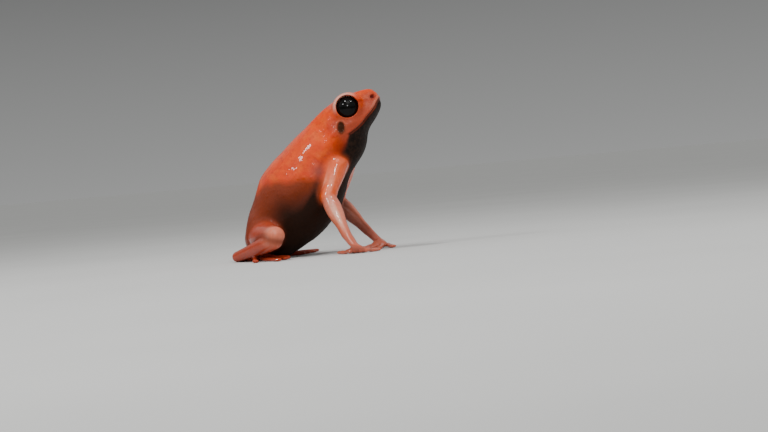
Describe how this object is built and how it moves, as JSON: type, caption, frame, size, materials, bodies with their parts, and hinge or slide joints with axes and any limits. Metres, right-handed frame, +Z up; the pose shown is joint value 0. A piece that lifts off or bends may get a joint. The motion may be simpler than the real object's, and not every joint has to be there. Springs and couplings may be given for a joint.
{
  "type": "golden poison frog",
  "caption": "Life-size still model of a golden poison frog sitting upright on its haunches, chin raised, hands planted in front and hind legs folded.",
  "frame": {"origin": "on the floor, under the middle of the frog's bounding box", "axes": "+X the way the frog faces, +Y its left side, +Z up; metres"},
  "size_m": [0.0348, 0.041, 0.0353],
  "materials": {
    "back_skin": "moist",
    "throat_skin": "moist",
    "limb_skin": "moist",
    "tympanum": "satin",
    "eye": "wet gloss"
  },
  "bodies": {
    "root": {"head": "back_skin", "torso": "back_skin", "lower_jaw": "throat_skin", "eye_right": "eye", "tympanum_right": "tympanum", "upper_arm_right": "limb_skin", "forearm_right": "limb_skin", "hand_right": "limb_skin", "finger_1_right": "limb_skin", "finger_2_right": "limb_skin", "finger_3_right": "limb_skin", "finger_4_right": "limb_skin", "thigh_right": "limb_skin", "shank_right": "limb_skin", "foot_right": "limb_skin", "toe_1_right": "limb_skin", "toe_2_right": "limb_skin", "toe_3_right": "limb_skin", "toe_4_right": "limb_skin", "toe_5_right": "limb_skin", "eye_left": "eye", "tympanum_left": "tympanum", "upper_arm_left": "limb_skin", "forearm_left": "limb_skin", "hand_left": "limb_skin", "finger_1_left": "limb_skin", "finger_2_left": "limb_skin", "finger_3_left": "limb_skin", "finger_4_left": "limb_skin", "thigh_left": "limb_skin", "shank_left": "limb_skin", "foot_left": "limb_skin", "toe_1_left": "limb_skin", "toe_2_left": "limb_skin", "toe_3_left": "limb_skin", "toe_4_left": "limb_skin", "toe_5_left": "limb_skin"}
  },
  "joints": []
}
